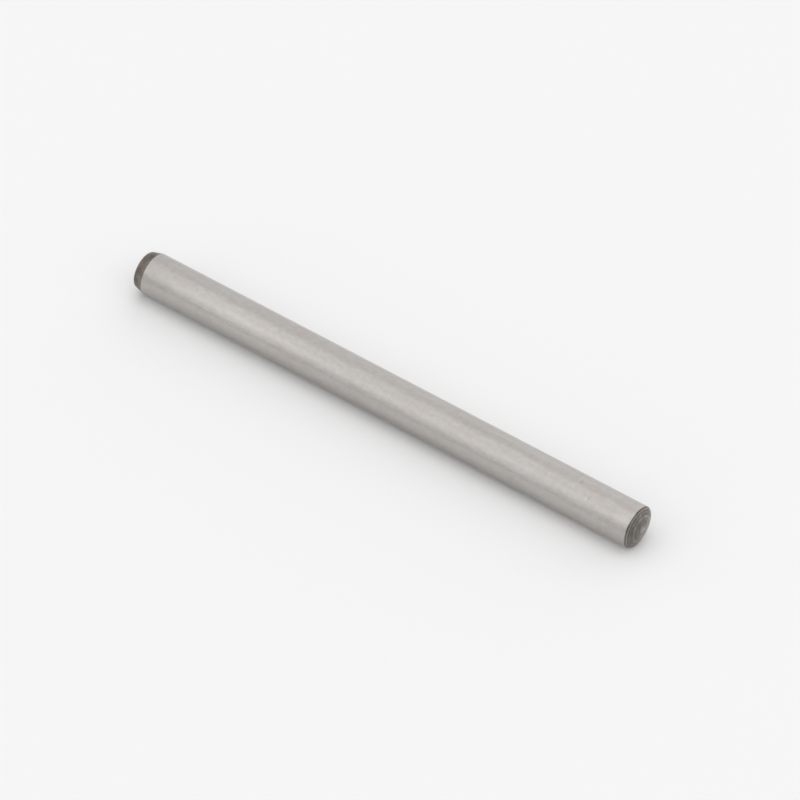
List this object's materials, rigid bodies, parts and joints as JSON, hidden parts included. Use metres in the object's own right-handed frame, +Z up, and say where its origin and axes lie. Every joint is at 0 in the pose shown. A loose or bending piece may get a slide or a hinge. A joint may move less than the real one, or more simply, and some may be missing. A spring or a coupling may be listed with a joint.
{
  "type": "brake hub pin",
  "caption": "Round hardened steel locating pin with a ground shank, a tapered lead-in end and crowned end faces, for locating a brake hub.",
  "frame": {"origin": "on the pin's axis, at the middle of its overall length", "axes": "+X along the axis from the tapered lead-in end to the plain crowned end; +Z up, with the pin lying on its side"},
  "size_m": [0.0812, 0.006, 0.006],
  "materials": {
    "ground_steel": "satin ground shank, with dark unground skin on the lead-in taper and the crowned ends"
  },
  "bodies": {
    "root": {"pin": "ground_steel"}
  },
  "joints": []
}
